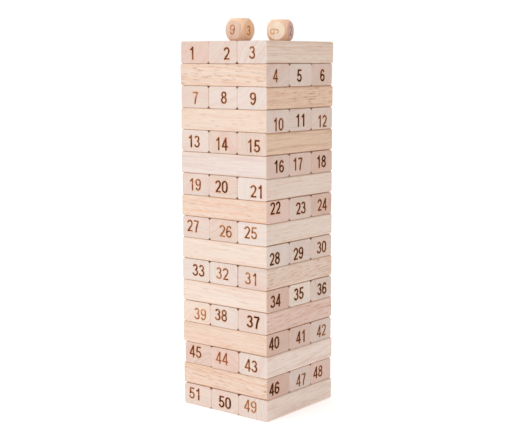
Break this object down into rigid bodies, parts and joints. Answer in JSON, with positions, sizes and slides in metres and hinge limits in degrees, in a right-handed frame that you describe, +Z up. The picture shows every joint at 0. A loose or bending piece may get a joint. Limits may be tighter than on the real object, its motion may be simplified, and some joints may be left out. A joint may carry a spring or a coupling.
{
  "type": "giant tumbling tower",
  "caption": "Tall square stack of numbered wooden blocks in crossed layers, pulled out one by one as a balancing game, with wooden number dice on top.",
  "frame": {"origin": "middle of the tower's square foot, on the ground", "axes": "+Z up; -Y is the side that shows the numbered ends of blocks 1, 2 and 3; +X is the side that shows the numbered ends of blocks 4, 5 and 6"},
  "size_m": [0.1932, 0.194, 0.6867],
  "materials": {
    "cream_wood": "satin",
    "pink_wood": "satin",
    "peach_wood": "satin",
    "tan_wood": "satin",
    "dice_wood": "satin"
  },
  "bodies": {
    "block_01": {"block_01": "pink_wood"},
    "block_02": {"block_02": "cream_wood"},
    "block_03": {"block_03": "cream_wood"},
    "block_04": {"block_04": "peach_wood"},
    "block_05": {"block_05": "cream_wood"},
    "block_06": {"block_06": "tan_wood"},
    "block_07": {"block_07": "cream_wood"},
    "block_08": {"block_08": "pink_wood"},
    "block_09": {"block_09": "tan_wood"},
    "block_10": {"block_10": "cream_wood"},
    "block_11": {"block_11": "pink_wood"},
    "block_12": {"block_12": "pink_wood"},
    "block_13": {"block_13": "cream_wood"},
    "block_14": {"block_14": "peach_wood"},
    "block_15": {"block_15": "tan_wood"},
    "block_16": {"block_16": "pink_wood"},
    "block_17": {"block_17": "cream_wood"},
    "block_18": {"block_18": "pink_wood"},
    "block_19": {"block_19": "cream_wood"},
    "block_20": {"block_20": "pink_wood"},
    "block_21": {"block_21": "cream_wood"},
    "block_22": {"block_22": "peach_wood"},
    "block_23": {"block_23": "cream_wood"},
    "block_24": {"block_24": "pink_wood"},
    "block_25": {"block_25": "cream_wood"},
    "block_26": {"block_26": "pink_wood"},
    "block_27": {"block_27": "cream_wood"},
    "block_28": {"block_28": "cream_wood"},
    "block_29": {"block_29": "pink_wood"},
    "block_30": {"block_30": "cream_wood"},
    "block_31": {"block_31": "tan_wood"},
    "block_32": {"block_32": "pink_wood"},
    "block_33": {"block_33": "pink_wood"},
    "block_34": {"block_34": "peach_wood"},
    "block_35": {"block_35": "cream_wood"},
    "block_36": {"block_36": "pink_wood"},
    "block_37": {"block_37": "tan_wood"},
    "block_38": {"block_38": "pink_wood"},
    "block_39": {"block_39": "cream_wood"},
    "block_40": {"block_40": "peach_wood"},
    "block_41": {"block_41": "pink_wood"},
    "block_42": {"block_42": "pink_wood"},
    "block_43": {"block_43": "cream_wood"},
    "block_44": {"block_44": "pink_wood"},
    "block_45": {"block_45": "peach_wood"},
    "block_46": {"block_46": "peach_wood"},
    "block_47": {"block_47": "pink_wood"},
    "block_48": {"block_48": "tan_wood"},
    "block_49": {"block_49": "cream_wood"},
    "block_50": {"block_50": "pink_wood"},
    "block_51": {"block_51": "cream_wood"},
    "die_left": {"die_left": "dice_wood"},
    "die_right": {"die_right": "dice_wood"}
  },
  "joints": [
    {"name": "block_01_lift", "type": "slide", "parent": "block_50", "child": "block_01", "axis": [0, 0, 1], "range_m": [0, 0.15]},
    {"name": "block_02_lift", "type": "slide", "parent": "block_50", "child": "block_02", "axis": [0, 0, 1], "range_m": [0, 0.15]},
    {"name": "block_03_lift", "type": "slide", "parent": "block_50", "child": "block_03", "axis": [0, 0, 1], "range_m": [0, 0.15]},
    {"name": "block_04_pull", "type": "slide", "parent": "block_50", "child": "block_04", "axis": [1, 0, 0], "range_m": [-0.2, 0.2]},
    {"name": "block_05_pull", "type": "slide", "parent": "block_50", "child": "block_05", "axis": [1, 0, 0], "range_m": [-0.2, 0.2]},
    {"name": "block_06_pull", "type": "slide", "parent": "block_50", "child": "block_06", "axis": [1, 0, 0], "range_m": [-0.2, 0.2]},
    {"name": "block_07_pull", "type": "slide", "parent": "block_50", "child": "block_07", "axis": [0, 1, 0], "range_m": [-0.2, 0.2]},
    {"name": "block_08_pull", "type": "slide", "parent": "block_50", "child": "block_08", "axis": [0, 1, 0], "range_m": [-0.2, 0.2]},
    {"name": "block_09_pull", "type": "slide", "parent": "block_50", "child": "block_09", "axis": [0, 1, 0], "range_m": [-0.2, 0.2]},
    {"name": "block_10_pull", "type": "slide", "parent": "block_50", "child": "block_10", "axis": [1, 0, 0], "range_m": [-0.2, 0.2]},
    {"name": "block_11_pull", "type": "slide", "parent": "block_50", "child": "block_11", "axis": [1, 0, 0], "range_m": [-0.2, 0.2]},
    {"name": "block_12_pull", "type": "slide", "parent": "block_50", "child": "block_12", "axis": [1, 0, 0], "range_m": [-0.2, 0.2]},
    {"name": "block_13_pull", "type": "slide", "parent": "block_50", "child": "block_13", "axis": [0, 1, 0], "range_m": [-0.2, 0.2]},
    {"name": "block_14_pull", "type": "slide", "parent": "block_50", "child": "block_14", "axis": [0, 1, 0], "range_m": [-0.2, 0.2]},
    {"name": "block_15_pull", "type": "slide", "parent": "block_50", "child": "block_15", "axis": [0, 1, 0], "range_m": [-0.2, 0.2]},
    {"name": "block_16_pull", "type": "slide", "parent": "block_50", "child": "block_16", "axis": [1, 0, 0], "range_m": [-0.2, 0.2]},
    {"name": "block_17_pull", "type": "slide", "parent": "block_50", "child": "block_17", "axis": [1, 0, 0], "range_m": [-0.2, 0.2]},
    {"name": "block_18_pull", "type": "slide", "parent": "block_50", "child": "block_18", "axis": [1, 0, 0], "range_m": [-0.2, 0.2]},
    {"name": "block_19_pull", "type": "slide", "parent": "block_50", "child": "block_19", "axis": [0, 1, 0], "range_m": [-0.2, 0.2]},
    {"name": "block_20_pull", "type": "slide", "parent": "block_50", "child": "block_20", "axis": [0, 1, 0], "range_m": [-0.2, 0.2]},
    {"name": "block_21_pull", "type": "slide", "parent": "block_50", "child": "block_21", "axis": [0, 1, 0], "range_m": [-0.2, 0.2]},
    {"name": "block_22_pull", "type": "slide", "parent": "block_50", "child": "block_22", "axis": [1, 0, 0], "range_m": [-0.2, 0.2]},
    {"name": "block_23_pull", "type": "slide", "parent": "block_50", "child": "block_23", "axis": [1, 0, 0], "range_m": [-0.2, 0.2]},
    {"name": "block_24_pull", "type": "slide", "parent": "block_50", "child": "block_24", "axis": [1, 0, 0], "range_m": [-0.2, 0.2]},
    {"name": "block_27_pull", "type": "slide", "parent": "block_50", "child": "block_27", "axis": [0, 1, 0], "range_m": [-0.2, 0.2]},
    {"name": "block_26_pull", "type": "slide", "parent": "block_50", "child": "block_26", "axis": [0, 1, 0], "range_m": [-0.2, 0.2]},
    {"name": "block_25_pull", "type": "slide", "parent": "block_50", "child": "block_25", "axis": [0, 1, 0], "range_m": [-0.2, 0.2]},
    {"name": "block_28_pull", "type": "slide", "parent": "block_50", "child": "block_28", "axis": [1, 0, 0], "range_m": [-0.2, 0.2]},
    {"name": "block_29_pull", "type": "slide", "parent": "block_50", "child": "block_29", "axis": [1, 0, 0], "range_m": [-0.2, 0.2]},
    {"name": "block_30_pull", "type": "slide", "parent": "block_50", "child": "block_30", "axis": [1, 0, 0], "range_m": [-0.2, 0.2]},
    {"name": "block_33_pull", "type": "slide", "parent": "block_50", "child": "block_33", "axis": [0, 1, 0], "range_m": [-0.2, 0.2]},
    {"name": "block_32_pull", "type": "slide", "parent": "block_50", "child": "block_32", "axis": [0, 1, 0], "range_m": [-0.2, 0.2]},
    {"name": "block_31_pull", "type": "slide", "parent": "block_50", "child": "block_31", "axis": [0, 1, 0], "range_m": [-0.2, 0.2]},
    {"name": "block_34_pull", "type": "slide", "parent": "block_50", "child": "block_34", "axis": [1, 0, 0], "range_m": [-0.2, 0.2]},
    {"name": "block_35_pull", "type": "slide", "parent": "block_50", "child": "block_35", "axis": [1, 0, 0], "range_m": [-0.2, 0.2]},
    {"name": "block_36_pull", "type": "slide", "parent": "block_50", "child": "block_36", "axis": [1, 0, 0], "range_m": [-0.2, 0.2]},
    {"name": "block_39_pull", "type": "slide", "parent": "block_50", "child": "block_39", "axis": [0, 1, 0], "range_m": [-0.2, 0.2]},
    {"name": "block_38_pull", "type": "slide", "parent": "block_50", "child": "block_38", "axis": [0, 1, 0], "range_m": [-0.2, 0.2]},
    {"name": "block_37_pull", "type": "slide", "parent": "block_50", "child": "block_37", "axis": [0, 1, 0], "range_m": [-0.2, 0.2]},
    {"name": "block_40_pull", "type": "slide", "parent": "block_50", "child": "block_40", "axis": [1, 0, 0], "range_m": [-0.2, 0.2]},
    {"name": "block_41_pull", "type": "slide", "parent": "block_50", "child": "block_41", "axis": [1, 0, 0], "range_m": [-0.2, 0.2]},
    {"name": "block_42_pull", "type": "slide", "parent": "block_50", "child": "block_42", "axis": [1, 0, 0], "range_m": [-0.2, 0.2]},
    {"name": "block_45_pull", "type": "slide", "parent": "block_50", "child": "block_45", "axis": [0, 1, 0], "range_m": [-0.2, 0.2]},
    {"name": "block_44_pull", "type": "slide", "parent": "block_50", "child": "block_44", "axis": [0, 1, 0], "range_m": [-0.2, 0.2]},
    {"name": "block_43_pull", "type": "slide", "parent": "block_50", "child": "block_43", "axis": [0, 1, 0], "range_m": [-0.2, 0.2]},
    {"name": "block_46_pull", "type": "slide", "parent": "block_50", "child": "block_46", "axis": [1, 0, 0], "range_m": [-0.2, 0.2]},
    {"name": "block_47_pull", "type": "slide", "parent": "block_50", "child": "block_47", "axis": [1, 0, 0], "range_m": [-0.2, 0.2]},
    {"name": "block_48_pull", "type": "slide", "parent": "block_50", "child": "block_48", "axis": [1, 0, 0], "range_m": [-0.2, 0.2]},
    {"name": "block_51_pull", "type": "slide", "parent": "block_50", "child": "block_51", "axis": [0, 1, 0], "range_m": [-0.2, 0.2]},
    {"name": "block_49_pull", "type": "slide", "parent": "block_50", "child": "block_49", "axis": [0, 1, 0], "range_m": [-0.2, 0.2]},
    {"name": "die_left_lift", "type": "slide", "parent": "block_02", "child": "die_left", "axis": [0, 0, 1], "range_m": [0, 0.15]},
    {"name": "die_right_lift", "type": "slide", "parent": "block_02", "child": "die_right", "axis": [0, 0, 1], "range_m": [0, 0.15]}
  ]
}
